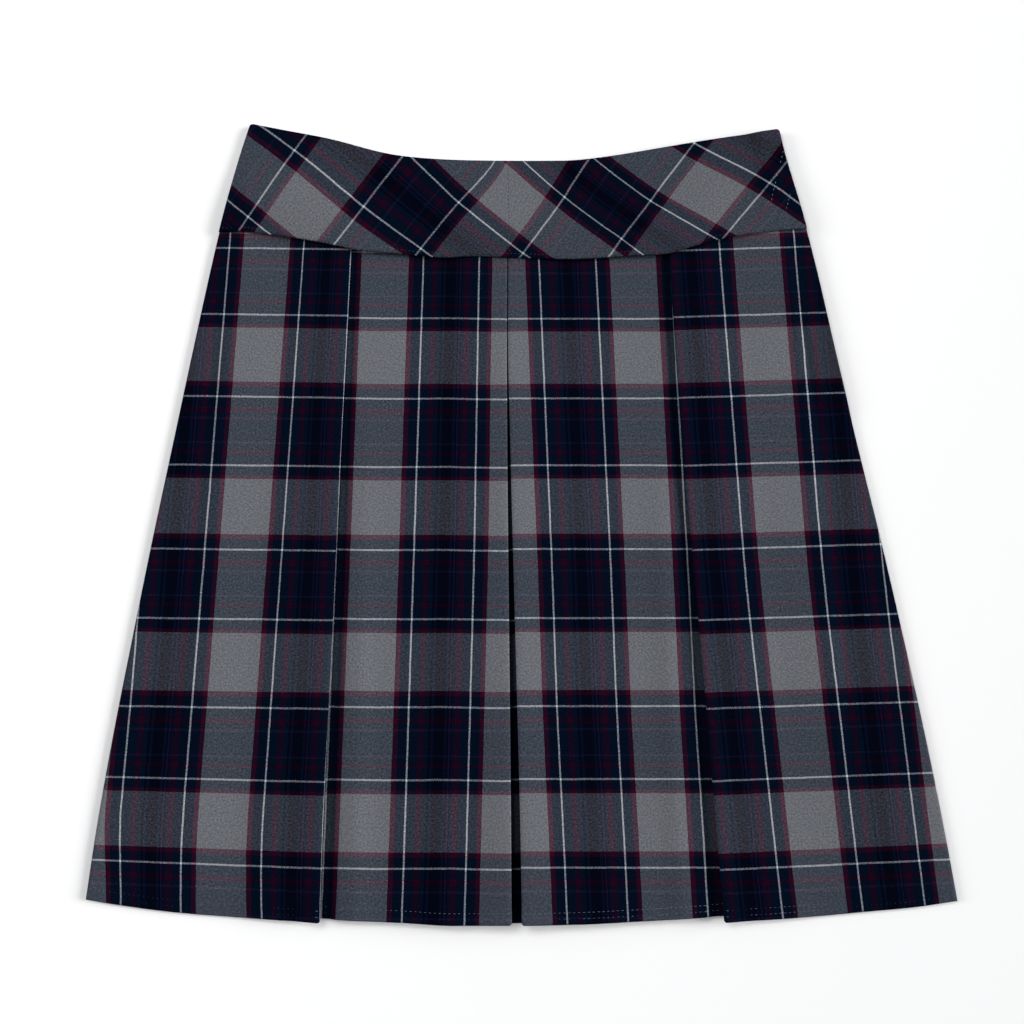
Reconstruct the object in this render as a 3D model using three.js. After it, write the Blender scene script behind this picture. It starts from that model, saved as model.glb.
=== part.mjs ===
import * as THREE from 'three';

// A skort laid flat on a table, front up: a bias-cut yoke over a pleated front, a plain back under it,
// and a pair of shorts between the two. Millimetres. +Y points to the waist, +X to the wearer's left,
// and the back lies on the table at z = 0.

// Cloth, as walls with a little air between the layers.
const skirtWall = 1.0;
const backWall = 1.4;
const yokeWall = 1.8;
const seamGap = 0.3;
const layer = skirtWall + seamGap;
const onBack = backWall + seamGap;
const shortsLayers = 2;

// Yoke over skirt: it settles on the back above the skirt's top edge, and eases over each pleat.
const lap = 9;
const lapFade = { from: 1, to: 18 };
const yokeClearance = 0.2;
const humpMargin = 3;
const humpFade = 22;
const cornerRadius = 2.2;

// Pleats: how far each folds under at the yoke and at the hem, and how far its fold lifts.
const pleatTop = { y: 180, sideDepth: 14, centreDepth: 16, sideLift: 0, centreLift: 0 };
const pleatHem = { y: -262, sideDepth: 26, centreDepth: 36, sideLift: 1.0, centreLift: 2.2 };
const pleatMargin = 1;
const pleatRamp = 14;
const liftReach = 0.8;
const hemTuck = 1.2;
const underlayHem = -262.2;

// Back: a little smaller than the front, so that the front hides it.
const backInset = 0.6;
const backWaistDrop = 1;

// Shorts.
const shortsMiddle = -5;
const shortsTop = { y: 178, halfWidth: 182 };
const shortsHem = { y: -110, halfWidth: 205 };
const shortsLap = 7;
const crotch = 15;
const legSpread = 0.055;
const sideFall = 10;
const hemFall = { from: 18, to: 84 };

// Zip in the left side seam, its coil along the seam.
const zip = { top: 245.5, bottom: 112, inset: 1, coilWidth: 4.5, width: 11.5, coil: 1.6, tape: 1.0 };
const slider = { width: 5.5, length: 7, height: 1.6, corner: 1.2 };
const zipRise = zip.coil + seamGap;
const zipFall = { acrossFrom: 1, acrossTo: 10, belowFrom: 32, belowTo: 62 };

// Points that depend on where they lie are found by trying again this many times.
const settlePasses = 4;

// Side seams, from the hem up to the waist.
const sideSeams = [
  { y: -250, left: -272.3, right: 272.3 },
  { y: -200, left: -267.0, right: 264.9 },
  { y: -140, left: -258.6, right: 255.2 },
  { y: -80, left: -249.0, right: 244.2 },
  { y: -20, left: -239.2, right: 232.6 },
  { y: 40, left: -228.7, right: 220.6 },
  { y: 100, left: -218.3, right: 208.9 },
  { y: 160, left: -207.5, right: 197.4 },
  { y: 200, left: -200.1, right: 189.3 },
  { y: 240, left: -190.5, right: 178.9 },
  { y: 264, left: -182.9, right: 171.5 },
];

// Pleat folds, from the hem up. The two centre folds part below the hip.
const folds = [
  { y: -262, left: -125.5, centreLeft: -5.6, centreRight: 0.9, right: 126.2 },
  { y: -190, left: -124.3, centreLeft: -5.8, centreRight: -0.5, right: 121.4 },
  { y: -110, left: -121.4, centreLeft: -6.3, centreRight: -2.6, right: 116.0 },
  { y: -28, left: -119.1, centreLeft: -7.1, centreRight: -4.7, right: 110.3 },
  { y: 40, left: -117.3, centreLeft: -8.0, centreRight: -6.4, right: 105.2 },
  { y: 100, left: -115.3, centreLeft: -8.7, centreRight: -8.3, right: 102.0 },
  { y: 180, left: -112.8, centreLeft: -8.7, centreRight: -8.3, right: 98.3 },
];

// Waist edge, dipped at the front.
const waist = [
  { x: -183, y: 263.9 },
  { x: -162, y: 259.3 },
  { x: -129, y: 252.6 },
  { x: -96, y: 243.6 },
  { x: -80, y: 240.6 },
  { x: -56, y: 238.4 },
  { x: -30, y: 237.4 },
  { x: 26, y: 237.2 },
  { x: 42, y: 238.1 },
  { x: 66, y: 241.4 },
  { x: 98, y: 247.1 },
  { x: 131, y: 252.9 },
  { x: 173, y: 260.0 },
];

// Lower edge of the front yoke, which steps where it crosses the side pleats.
const yokeSeam = [
  { x: -201, y: 187.0 },
  { x: -189, y: 187.0 },
  { x: -163, y: 183.5 },
  { x: -137, y: 179.4 },
  { x: -117, y: 175.2 },
  { x: -109, y: 173.2 },
  { x: -83, y: 171.4 },
  { x: -51, y: 168.5 },
  { x: -33, y: 169.4 },
  { x: 10, y: 168.1 },
  { x: 35, y: 167.7 },
  { x: 68, y: 169.8 },
  { x: 96, y: 170.9 },
  { x: 110, y: 174.7 },
  { x: 124, y: 179.2 },
  { x: 151, y: 185.0 },
  { x: 175, y: 188.0 },
  { x: 192, y: 188.8 },
];

// Hem of each front panel.
const hems = {
  sideLeft: [
    { x: -272, y: -246.6 },
    { x: -256, y: -250.0 },
    { x: -226, y: -254.0 },
    { x: -196, y: -256.6 },
    { x: -126, y: -261.8 },
  ],
  centreLeft: [
    { x: -155, y: -257.6 },
    { x: -98, y: -260.8 },
    { x: -68, y: -262.3 },
    { x: -46, y: -263.4 },
    { x: -5, y: -263.2 },
  ],
  centreRight: [
    { x: 0, y: -263.2 },
    { x: 22, y: -263.2 },
    { x: 51, y: -262.1 },
    { x: 81, y: -260.3 },
    { x: 111, y: -259.1 },
    { x: 155, y: -256.6 },
  ],
  sideRight: [
    { x: 126, y: -261.4 },
    { x: 156, y: -259.6 },
    { x: 186, y: -257.3 },
    { x: 216, y: -254.5 },
    { x: 246, y: -251.9 },
    { x: 272, y: -247.6 },
  ],
};

// Back yoke's lower edge and back hem: plain curves, deepest at the middle.
const backSeam = { halfWidth: 196, side: 187, middle: 168 };
const backHem = { halfWidth: 272, side: -244.5, middle: -260.7 };

const colours = {
  skirt: '#3b4150',
  yoke: '#565a66',
  underlay: '#20252f',
  shorts: '#1a2232',
  tape: '#10182a',
  metal: '#8d9096',
};

function smooth(from, to, value) {
  return THREE.MathUtils.smoothstep(value, from, to);
}

// Reads a column of a table between its rows, on a smooth curve through them.
function read(rows, placeColumn, valueColumn, place) {
  const last = rows.length - 1;
  const slopeBetween = (low, high) => (
    (rows[high][valueColumn] - rows[low][valueColumn]) / (rows[high][placeColumn] - rows[low][placeColumn])
  );
  const slopeAt = (row) => slopeBetween(Math.max(row - 1, 0), Math.min(row + 1, last));
  let row = 0;
  while (row < last - 1 && place > rows[row + 1][placeColumn]) row += 1;
  const start = rows[row][placeColumn];
  const step = rows[row + 1][placeColumn] - start;
  const along = (place - start) / step;
  if (along < 0) return rows[row][valueColumn] + slopeAt(row) * (place - start);
  if (along > 1) return rows[row + 1][valueColumn] + slopeAt(row + 1) * (place - start - step);
  const square = along * along;
  const cube = square * along;
  return (
    rows[row][valueColumn] * (2 * cube - 3 * square + 1) +
    rows[row + 1][valueColumn] * (3 * square - 2 * cube) +
    slopeAt(row) * step * (cube - 2 * square + along) +
    slopeAt(row + 1) * step * (cube - square)
  );
}

const seamAt = (side, y) => read(sideSeams, 'y', side, y);
const foldAt = (name, y) => read(folds, 'y', name, y);
const waistAt = (x) => read(waist, 'x', 'y', x);
const yokeSeamAt = (x) => read(yokeSeam, 'x', 'y', x);

function pleatAt(column, y) {
  const down = (pleatTop.y - y) / (pleatTop.y - pleatHem.y);
  return THREE.MathUtils.lerp(pleatTop[column], pleatHem[column], THREE.MathUtils.clamp(down, 0, 1));
}

function shortsHalfWidth(y) {
  const down = (shortsTop.y - y) / (shortsTop.y - shortsHem.y);
  return THREE.MathUtils.lerp(shortsTop.halfWidth, shortsHem.halfWidth, down);
}

// 1 over the zip, 0 clear of it.
function overZip(x, y) {
  const beyondTape = seamAt('right', y) - x - zip.inset - zip.width;
  const across = 1 - smooth(zipFall.acrossFrom, zipFall.acrossTo, beyondTape);
  return across * (1 - smooth(zipFall.belowFrom, zipFall.belowTo, zip.bottom - y));
}

// Where the front's lowest layer lies: on the shorts, on the zip, or straight on the back.
function restAt(x, y) {
  const beyondSide = Math.abs(x - shortsMiddle) - shortsHalfWidth(Math.max(y, shortsHem.y));
  const beyondHem = shortsHem.y - y;
  const beside = 1 - smooth(0, sideFall, beyondSide);
  const above = 1 - smooth(hemFall.from, hemFall.to, beyondHem);
  return onBack + Math.max(shortsLayers * layer * beside * above, zipRise * overZip(x, y));
}

// Closed wall of cloth around a grid of points on its middle. Columns run to the right and rows down,
// as seen from the side that the outer face looks to. The wall may differ from column to column.
function clothWall(columns, rows, middleAt, wallAt) {
  const middle = [];
  for (let row = 0; row <= rows; row += 1) {
    for (let column = 0; column <= columns; column += 1) middle.push(middleAt(column, row / rows, row));
  }
  const index = (column, row) => row * (columns + 1) + column;
  const count = middle.length;
  const positions = new Float32Array(count * 6);
  const across = new THREE.Vector3();
  const down = new THREE.Vector3();
  for (let row = 0; row <= rows; row += 1) {
    for (let column = 0; column <= columns; column += 1) {
      const here = index(column, row);
      across.subVectors(middle[index(Math.min(column + 1, columns), row)], middle[here]).normalize();
      down.subVectors(middle[here], middle[index(Math.max(column - 1, 0), row)]).normalize();
      across.add(down);
      down.subVectors(
        middle[index(column, Math.min(row + 1, rows))],
        middle[index(column, Math.max(row - 1, 0))],
      );
      const out = down.cross(across).normalize().multiplyScalar(wallAt(column) / 2);
      middle[here].clone().add(out).toArray(positions, here * 3);
      middle[here].clone().sub(out).toArray(positions, (here + count) * 3);
    }
  }
  const faces = [];
  for (let row = 0; row < rows; row += 1) {
    for (let column = 0; column < columns; column += 1) {
      const a = index(column, row);
      const b = index(column + 1, row);
      const c = index(column + 1, row + 1);
      const d = index(column, row + 1);
      faces.push(a, d, c, a, c, b);
      faces.push(a + count, c + count, d + count, a + count, b + count, c + count);
    }
  }
  const border = [];
  for (let row = 0; row < rows; row += 1) border.push(index(0, row));
  for (let column = 0; column < columns; column += 1) border.push(index(column, rows));
  for (let row = rows; row > 0; row -= 1) border.push(index(columns, row));
  for (let column = columns; column > 0; column -= 1) border.push(index(column, 0));
  border.forEach((from, place) => {
    const to = border[(place + 1) % border.length];
    faces.push(to, from, from + count, to, from + count, to + count);
  });
  const geometry = new THREE.BufferGeometry();
  geometry.setAttribute('position', new THREE.BufferAttribute(positions, 3));
  geometry.setIndex(faces);
  geometry.computeVertexNormals();
  return geometry;
}

function cloth(name, geometry, colour) {
  const material = new THREE.MeshStandardMaterial({ color: colour, roughness: 0.9, metalness: 0 });
  const mesh = new THREE.Mesh(geometry, material);
  mesh.name = name;
  return mesh;
}

// Front panels. Each runs from an edge to a pressed fold, round it, and back under itself.
// facing is +1 where the fold points to +X and -1 where it points to -X.
const panels = [
  {
    name: 'front_side_left', facing: 1, fold: 'left', hem: hems.sideLeft,
    depth: 'sideDepth', lift: 'sideLift',
    edge: (y) => seamAt('left', y), rollsDown: true,
  },
  {
    name: 'front_centre_left', facing: 1, fold: 'centreLeft', hem: hems.centreLeft,
    depth: 'centreDepth', lift: 'centreLift',
    edge: (y) => foldAt('left', y) - pleatAt('sideDepth', y),
  },
  {
    name: 'front_centre_right', facing: -1, fold: 'centreRight', hem: hems.centreRight,
    depth: 'centreDepth', lift: 'centreLift',
    edge: (y) => foldAt('right', y) + pleatAt('sideDepth', y),
  },
  {
    name: 'front_side_right', facing: -1, fold: 'right', hem: hems.sideRight,
    depth: 'sideDepth', lift: 'sideLift',
    edge: (y) => seamAt('right', y), rollsDown: true,
  },
];

// Stations across a panel: beyond the shorts' side and before the pleat in mm, the rest as shares.
const fallStations = [sideFall, 7.5, 5, 2.5, -1];
const plainShares = [0.2, 0.4, 0.6, 0.8];
const rampStations = [15, 11.2, 7.5, 3.8, 0];
const topShares = [0.7, 0.45, 0.22];
const foldAngles = [0, 45, 90, 135, 180];
const returnShares = [0.3, 0.65, 1];
const panelRows = 14;

function panelSection(panel, y) {
  const fold = foldAt(panel.fold, y);
  const depth = pleatAt(panel.depth, y);
  const lift = pleatAt(panel.lift, y);
  const span = Math.abs(fold - panel.edge(y));
  const radius = (layer + lift) / 2;
  const bend = radius + skirtWall / 2;
  const points = [];
  const topHeight = (back) => (
    2 * layer * (1 - smooth(depth + pleatMargin, depth + pleatRamp, back)) +
    lift * (1 - smooth(bend, depth * liftReach, back))
  );
  const add = (back, height, under) => {
    const x = fold - panel.facing * back;
    points.push({ x, z: restAt(x, y) + skirtWall / 2 + height, under });
  };
  let plainFrom = span;
  add(span, 0, 0);
  if (panel.rollsDown) {
    const shortsSide = shortsMiddle - panel.facing * shortsHalfWidth(Math.max(y, shortsHem.y));
    const shortsBack = Math.abs(fold - shortsSide);
    add((span + shortsBack + sideFall) / 2, 0, 0);
    for (const station of fallStations) add(shortsBack + station, 0, 0);
    plainFrom = shortsBack + fallStations[fallStations.length - 1];
  }
  for (const share of plainShares) {
    const back = THREE.MathUtils.lerp(plainFrom, depth + rampStations[0], share);
    add(back, topHeight(back), 0);
  }
  for (const station of rampStations) add(depth + station, topHeight(depth + station), 0);
  for (const share of topShares) {
    const back = THREE.MathUtils.lerp(bend, depth, share);
    add(back, topHeight(back), 0);
  }
  for (const degrees of foldAngles) {
    const turn = THREE.MathUtils.degToRad(degrees);
    add(bend - radius * Math.sin(turn), layer + radius * (1 + Math.cos(turn)), degrees / 180);
  }
  for (const share of returnShares) add(THREE.MathUtils.lerp(bend, depth, share), layer, 1);
  return points;
}


function panelMesh(panel) {
  const columns = panelSection(panel, 0).length - 1;
  const middleAt = (column, share) => {
    const station = panel.facing > 0 ? column : columns - column;
    let y = THREE.MathUtils.lerp(pleatTop.y, pleatHem.y, share);
    let point;
    for (let pass = 0; pass < settlePasses; pass += 1) {
      point = panelSection(panel, y)[station];
      const hemX = point.under > 0 ? foldAt(panel.fold, y) : point.x;
      const hem = read(panel.hem, 'x', 'y', hemX) + hemTuck * point.under;
      y = THREE.MathUtils.lerp(yokeSeamAt(point.x) + lap, hem, share);
    }
    return new THREE.Vector3(point.x, y, point.z);
  };
  return cloth(panel.name, clothWall(columns, panelRows, middleAt, () => skirtWall), colours.skirt);
}

function underlayMesh() {
  const columns = 8;
  const middleAt = (column, share) => {
    const along = (column / columns) * 2 - 1;
    let y = THREE.MathUtils.lerp(pleatTop.y, pleatHem.y, share);
    let x = 0;
    for (let pass = 0; pass < settlePasses; pass += 1) {
      const middle = (foldAt('centreLeft', y) + foldAt('centreRight', y)) / 2;
      x = middle + along * pleatAt('centreDepth', y);
      y = THREE.MathUtils.lerp(yokeSeamAt(x) + lap, underlayHem, share);
    }
    return new THREE.Vector3(x, y, restAt(x, y) + skirtWall / 2);
  };
  return cloth('centre_underlay', clothWall(columns, panelRows, middleAt, () => skirtWall), colours.underlay);
}

// 1 where the yoke rides over a pleat, 0 over a single layer.
function overPleats(x, y) {
  const hump = (from, to) => (
    smooth(from - humpFade, from, x + humpMargin) * (1 - smooth(to, to + humpFade, x - humpMargin))
  );
  const side = pleatAt('sideDepth', y);
  const centre = pleatAt('centreDepth', y);
  return Math.max(
    hump(foldAt('left', y) - side, foldAt('left', y)),
    hump(foldAt('centreLeft', y) - centre, foldAt('centreRight', y) + centre),
    hump(foldAt('right', y), foldAt('right', y) + side),
  );
}

function yokeRestAt(x, y) {
  const stack = restAt(x, y) - onBack + layer + yokeClearance + 2 * layer * overPleats(x, y);
  const aboveSkirt = y - yokeSeamAt(x) - lap;
  const over = 1 - smooth(lapFade.from, lapFade.to, aboveSkirt);
  return onBack + THREE.MathUtils.lerp(zipRise * overZip(x, y), stack, over);
}

// How far a side edge draws in as it rounds the corner at the waist.
function cornerInset(belowWaist) {
  const left = Math.max(cornerRadius - belowWaist, 0);
  return cornerRadius - Math.sqrt(cornerRadius ** 2 - left ** 2);
}

// Rows of the yokes as shares of their depth, closer at the rounded corners and at the lap.
const yokeDrops = [0, 0.01, 0.025, 0.05, 0.2, 0.4, 0.58, 0.68, 0.78, 0.87, 0.94, 1];
const backDrops = [0, 0.01, 0.025, 0.05, 0.35, 0.7, 1];
const yokeColumns = 60;
const yokeEvenness = 0.5;

// Columns of the front yoke stand closer towards the side seams.
function yokeShare(column) {
  const even = column / yokeColumns;
  return THREE.MathUtils.lerp((1 - Math.cos(Math.PI * even)) / 2, even, yokeEvenness);
}

function yokePoint(across, share, inset, waistDrop, lowerAt, heightAt) {
  let y = waistAt(0);
  let x = 0;
  for (let pass = 0; pass < settlePasses; pass += 1) {
    const left = seamAt('left', y) + inset;
    const right = seamAt('right', y) - inset;
    const round = cornerInset(share * (waistAt(left) - lowerAt(left)));
    x = THREE.MathUtils.lerp(left + round, right - round, across);
    y = THREE.MathUtils.lerp(waistAt(x) - waistDrop, lowerAt(x), share);
  }
  return new THREE.Vector3(x, y, heightAt(x, y));
}

function frontYokeMesh() {
  const heightAt = (x, y) => yokeRestAt(x, y) + yokeWall / 2;
  const middleAt = (column, share, row) => (
    yokePoint(yokeShare(column), yokeDrops[row], 0, 0, yokeSeamAt, heightAt)
  );
  const geometry = clothWall(yokeColumns, yokeDrops.length - 1, middleAt, () => yokeWall);
  return cloth('front_yoke', geometry, colours.yoke);
}

// A plain curve across the back between its side seams.
function backCurve(ends, x) {
  return THREE.MathUtils.lerp(ends.middle, ends.side, (x / ends.halfWidth) ** 2);
}

function backYokeMesh() {
  const columns = 24;
  const lowerAt = (x) => backCurve(backSeam, x) + seamGap / 2;
  const middleAt = (column, share, row) => (
    yokePoint(column / columns, backDrops[row], backInset, backWaistDrop, lowerAt, () => backWall / 2)
  );
  const geometry = clothWall(columns, backDrops.length - 1, middleAt, () => backWall);
  return cloth('back_yoke', geometry, colours.yoke);
}

function backSkirtMesh() {
  const columns = 18;
  const rows = 10;
  const middleAt = (column, share) => {
    let y = THREE.MathUtils.lerp(backSeam.middle, backHem.middle, share);
    let x = 0;
    for (let pass = 0; pass < settlePasses; pass += 1) {
      const left = seamAt('left', y) + backInset;
      const right = seamAt('right', y) - backInset;
      x = THREE.MathUtils.lerp(left, right, column / columns);
      y = THREE.MathUtils.lerp(backCurve(backSeam, x) - seamGap / 2, backCurve(backHem, x), share);
    }
    return new THREE.Vector3(x, y, backWall / 2);
  };
  return cloth('back_skirt', clothWall(columns, rows, middleAt, () => backWall), colours.skirt);
}

// One quarter of the shorts: hand is -1 on the left of the view and +1 on the right.
function shortsMesh(name, hand, level) {
  const columns = 6;
  const rows = 9;
  const middleAt = (column, share) => {
    const across = hand < 0 ? column / columns : 1 - column / columns;
    let y = THREE.MathUtils.lerp(shortsTop.y, shortsHem.y, share);
    let x = 0;
    for (let pass = 0; pass < settlePasses; pass += 1) {
      const inner = Math.max(seamGap / 2, (crotch - y) * legSpread);
      x = shortsMiddle + hand * THREE.MathUtils.lerp(shortsHalfWidth(y), inner, across);
      y = THREE.MathUtils.lerp(yokeSeamAt(x) + shortsLap, shortsHem.y, share);
    }
    return new THREE.Vector3(x, y, onBack + level * layer + skirtWall / 2);
  };
  return cloth(name, clothWall(columns, rows, middleAt, () => skirtWall), colours.shorts);
}

function zipMesh() {
  const insets = [zip.width, zip.coilWidth + 1, zip.coilWidth, zip.coilWidth / 2, 0];
  const rows = 8;
  const wallAt = (column) => (column > 1 ? zip.coil : zip.tape);
  const middleAt = (column, share) => {
    const y = THREE.MathUtils.lerp(zip.top, zip.bottom, share);
    const x = seamAt('right', y) - zip.inset - insets[column];
    return new THREE.Vector3(x, y, onBack + wallAt(column) / 2);
  };
  return cloth('side_zip', clothWall(insets.length - 1, rows, middleAt, wallAt), colours.tape);
}

function sliderMesh() {
  const { width, length, height, corner } = slider;
  const outline = new THREE.Shape();
  outline.moveTo(0, corner);
  outline.lineTo(0, length - corner);
  outline.absarc(corner, length - corner, corner, Math.PI, Math.PI / 2, true);
  outline.lineTo(width - corner, length);
  outline.absarc(width - corner, length - corner, corner, Math.PI / 2, 0, true);
  outline.lineTo(width, corner);
  outline.absarc(width - corner, corner, corner, 0, -Math.PI / 2, true);
  outline.lineTo(corner, 0);
  outline.absarc(corner, corner, corner, -Math.PI / 2, -Math.PI, true);
  const block = { depth: height, bevelEnabled: false, curveSegments: 4 };
  const geometry = new THREE.ExtrudeGeometry(outline, block);
  const material = new THREE.MeshStandardMaterial({ color: colours.metal, roughness: 0.35, metalness: 1 });
  const mesh = new THREE.Mesh(geometry, material);
  const lean = seamAt('right', zip.top) - seamAt('right', zip.top + length);
  mesh.name = 'zip_slider';
  mesh.position.set(seamAt('right', zip.top) - zip.inset - width, zip.top + seamGap, onBack);
  mesh.rotation.z = Math.atan2(lean, length);
  return mesh;
}

const skort = new THREE.Group();
skort.add(backSkirtMesh(), backYokeMesh());
for (const [level, layerName] of ['back', 'front'].entries()) {
  skort.add(shortsMesh(`shorts_${layerName}_left`, -1, level));
  skort.add(shortsMesh(`shorts_${layerName}_right`, 1, level));
}
skort.add(underlayMesh());
for (const panel of panels) skort.add(panelMesh(panel));
skort.add(zipMesh(), sliderMesh(), frontYokeMesh());

export default skort;
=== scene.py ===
# A plaid skort laid flat, front up, on a pale table. Each cloth solid of the frame gets a finer wall on the
# same form. Sizes are in millimetres, +X is the wearer's left and +Y the waist; meshes are made in metres.
import math
import bpy
import numpy as np
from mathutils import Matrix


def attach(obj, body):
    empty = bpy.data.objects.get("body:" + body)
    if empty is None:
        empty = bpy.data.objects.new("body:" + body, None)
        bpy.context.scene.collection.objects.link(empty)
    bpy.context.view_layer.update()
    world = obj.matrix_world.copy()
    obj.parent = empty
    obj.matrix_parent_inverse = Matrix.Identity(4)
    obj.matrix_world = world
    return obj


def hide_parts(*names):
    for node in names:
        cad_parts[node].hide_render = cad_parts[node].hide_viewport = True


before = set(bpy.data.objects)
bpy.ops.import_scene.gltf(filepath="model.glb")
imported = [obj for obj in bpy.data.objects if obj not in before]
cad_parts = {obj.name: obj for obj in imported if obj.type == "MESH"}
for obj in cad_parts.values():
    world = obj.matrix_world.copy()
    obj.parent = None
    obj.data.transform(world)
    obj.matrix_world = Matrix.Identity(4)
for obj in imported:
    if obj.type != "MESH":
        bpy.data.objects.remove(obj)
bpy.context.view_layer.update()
mm = 0.001

# the camera: a 50 mm lens nearly straight above, tipped a little from the hem side
camera = {"lens": 50, "sensor": 36, "nearest": 0.01, "x": -5.906, "y": -139.37, "z": 919.3, "tilt": 8.5}


def addObject(name, data):
    thing = bpy.data.objects.new(name, data)
    bpy.context.collection.objects.link(thing)
    return thing


def makeCamera():
    data = bpy.data.cameras.new("camera")
    data.lens = camera["lens"]
    data.sensor_width = camera["sensor"]
    data.clip_start = camera["nearest"]
    eye = addObject("camera", data)
    eye.location = (camera["x"] * mm, camera["y"] * mm, camera["z"] * mm)
    eye.rotation_euler = (math.radians(camera["tilt"]), 0, 0)
    bpy.context.scene.camera = eye
    bpy.context.scene.view_settings.view_transform = "Standard"


makeCamera()
print("camera ready")


def linear(code):
    # sRGB hex to linear colour with full alpha
    channels = [int(code[place:place + 2], 16) / 255 for place in (1, 3, 5)]
    return (*(c / 12.92 if c <= 0.04045 else ((c + 0.055) / 1.055) ** 2.4 for c in channels), 1)


def put(tree, kind, feeds=None, **settings):
    # adds a node: feeds are sockets to link, or values to set, by input name or number
    node = tree.nodes.new(kind)
    for name, value in settings.items():
        setattr(node, name, value)
    for socket, source in (feeds or {}).items():
        if isinstance(source, bpy.types.NodeSocket):
            tree.links.new(source, node.inputs[socket])
        else:
            node.inputs[socket].default_value = source
    return node


def newMaterial(name):
    material = bpy.data.materials.new(name)
    material.use_nodes = True
    material.node_tree.nodes.clear()
    return material, material.node_tree


def toned(tree, colour, tone):
    return put(tree, "ShaderNodeMix", {0: 1.0, 6: colour, 7: tone}, data_type="RGBA",
               blend_type="MULTIPLY").outputs[2]


def surface(tree, feeds):
    face = put(tree, "ShaderNodeBsdfPrincipled", feeds)
    put(tree, "ShaderNodeOutputMaterial", {"Surface": face.outputs[0]})


# light: a pale dome, a lamp high over the upper left, and broad low ones from both sides, the right stronger
light = {
    "dome": 0.34, "domeColour": "#fbfcff",
    "sides": [
        {"name": "right", "power": 4.6, "height": 18, "from": 5, "spread": 32},
        {"name": "left", "power": 1.6, "height": 21, "from": 176, "spread": 26},
    ],
    "high": 8.2, "highSize": 0.5, "highPlace": (-0.62, 0.5, 1.35),
    "table": "#eeeeee", "tableSide": 8.0, "tableDrop": 0.1,
}


def makeStage():
    world = bpy.data.worlds.new("studio")
    world.use_nodes = True
    world.node_tree.nodes.clear()
    glow = put(world.node_tree, "ShaderNodeBackground",
               {"Color": linear(light["domeColour"]), "Strength": light["dome"]})
    put(world.node_tree, "ShaderNodeOutputWorld", {"Surface": glow.outputs[0]})
    bpy.context.scene.world = world

    for side in light["sides"]:
        data = bpy.data.lights.new(side["name"], "SUN")
        data.energy = side["power"]
        data.angle = math.radians(side["spread"])
        lamp = addObject(side["name"], data)
        lamp.rotation_euler = (0, math.radians(90 - side["height"]), math.radians(side["from"]))

    high = bpy.data.lights.new("high", "AREA")
    high.energy = light["high"]
    high.size = light["highSize"]
    addObject("high", high).location = light["highPlace"]

    half = light["tableSide"] / 2
    drop = -light["tableDrop"] * mm
    mesh = bpy.data.meshes.new("table")
    mesh.from_pydata([(-half, -half, drop), (half, -half, drop), (half, half, drop), (-half, half, drop)],
                     [], [(0, 1, 2, 3)])
    material, tree = newMaterial("painted table")
    surface(tree, {"Base Color": linear(light["table"]), "Roughness": 0.9, "Specular IOR Level": 0.1})
    mesh.materials.append(material)
    addObject("table", mesh)


makeStage()
print("stage ready")

# the plaid: stripe by stripe, millimetres of cloth. u counts along the weft, v up the warp
threads = {
    "grey": "#5e6065", "navy": "#020a19", "maroon": "#300517", "wine": "#1c0314", "white": "#b4b7bb",
    "black": "#010107", "blue": "#02081a", "plum": "#180a24", "haze": "#17132a",
}
plaid = {
    "warpStart": -9.29,
    "warp": [
        ("maroon", 3.0), ("navy", 5.7), ("white", 1.15), ("navy", 5.77), ("wine", 3.66), ("navy", 3.0),
        ("black", 1.33), ("blue", 1.66), ("black", 7.0), ("blue", 1.66), ("black", 1.0), ("plum", 1.0),
        ("black", 1.0), ("blue", 1.66), ("wine", 3.66), ("navy", 5.55), ("white", 1.15), ("navy", 5.83),
        ("maroon", 2.66), ("grey", 31.0),
    ],
    "weftStart": 9.64,
    "weft": [
        ("maroon", 2.85), ("navy", 6.2), ("white", 1.2), ("navy", 6.52), ("wine", 3.64), ("navy", 2.98),
        ("haze", 1.66), ("navy", 14.9), ("haze", 1.33), ("navy", 3.98), ("wine", 2.45), ("navy", 7.3),
        ("white", 1.2), ("navy", 5.6), ("maroon", 2.52), ("grey", 36.4),
    ],
    "warpShows": 0.565,
    "twillPitch": 1.5,      # a little coarser than the real cloth's, so that it shows
    "twillDepth": 0.06,
    "speck": 1.3,
    "speckDepth": 0.68,
    "slub": 1.15,
    "slubDepth": 0.66,
    "wander": 0.25,
    "wanderLength": 14,     # the stripes wander sideways over runs about this long
    "relief": 0.35,
    "reliefDepth": 0.12,
    "roughness": 0.92,
    "gloss": 0.012,
    # painted shade: the bias-cut yoke's cloth is toned darker, standing in for ribs turned from the light
    "biasShadeTone": 0.965,      # cut on the bias, the cloth turns its ribs from the light
    "coding": 2.2,
}


def repeatOf(rows):
    return sum(width for _, width in rows)


def stripes(tree, rows, place, start):
    # a ramp of hard steps, one for each stripe, in coded values so that threads mix as the eye sees them
    whole = repeatOf(rows)
    gone = put(tree, "ShaderNodeMath", {0: place, 1: start}, operation="SUBTRACT")
    share = put(tree, "ShaderNodeMath", {0: gone.outputs[0], 1: whole * mm}, operation="DIVIDE")
    inRepeat = put(tree, "ShaderNodeMath", {0: share.outputs[0]}, operation="FRACT")
    ramp = put(tree, "ShaderNodeValToRGB", {"Fac": inRepeat.outputs[0]})
    ramp.color_ramp.interpolation = "CONSTANT"
    steps = ramp.color_ramp.elements
    while len(steps) > 1:
        steps.remove(steps[-1])
    edge = 0.0
    for count, (name, width) in enumerate(rows):
        step = steps[0] if count == 0 else steps.new(edge / whole)
        step.position = edge / whole
        step.color = linear(threads[name])
        edge += width
    return put(tree, "ShaderNodeGamma", {"Color": ramp.outputs[0], "Gamma": 1 / plaid["coding"]}).outputs[0]


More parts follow.
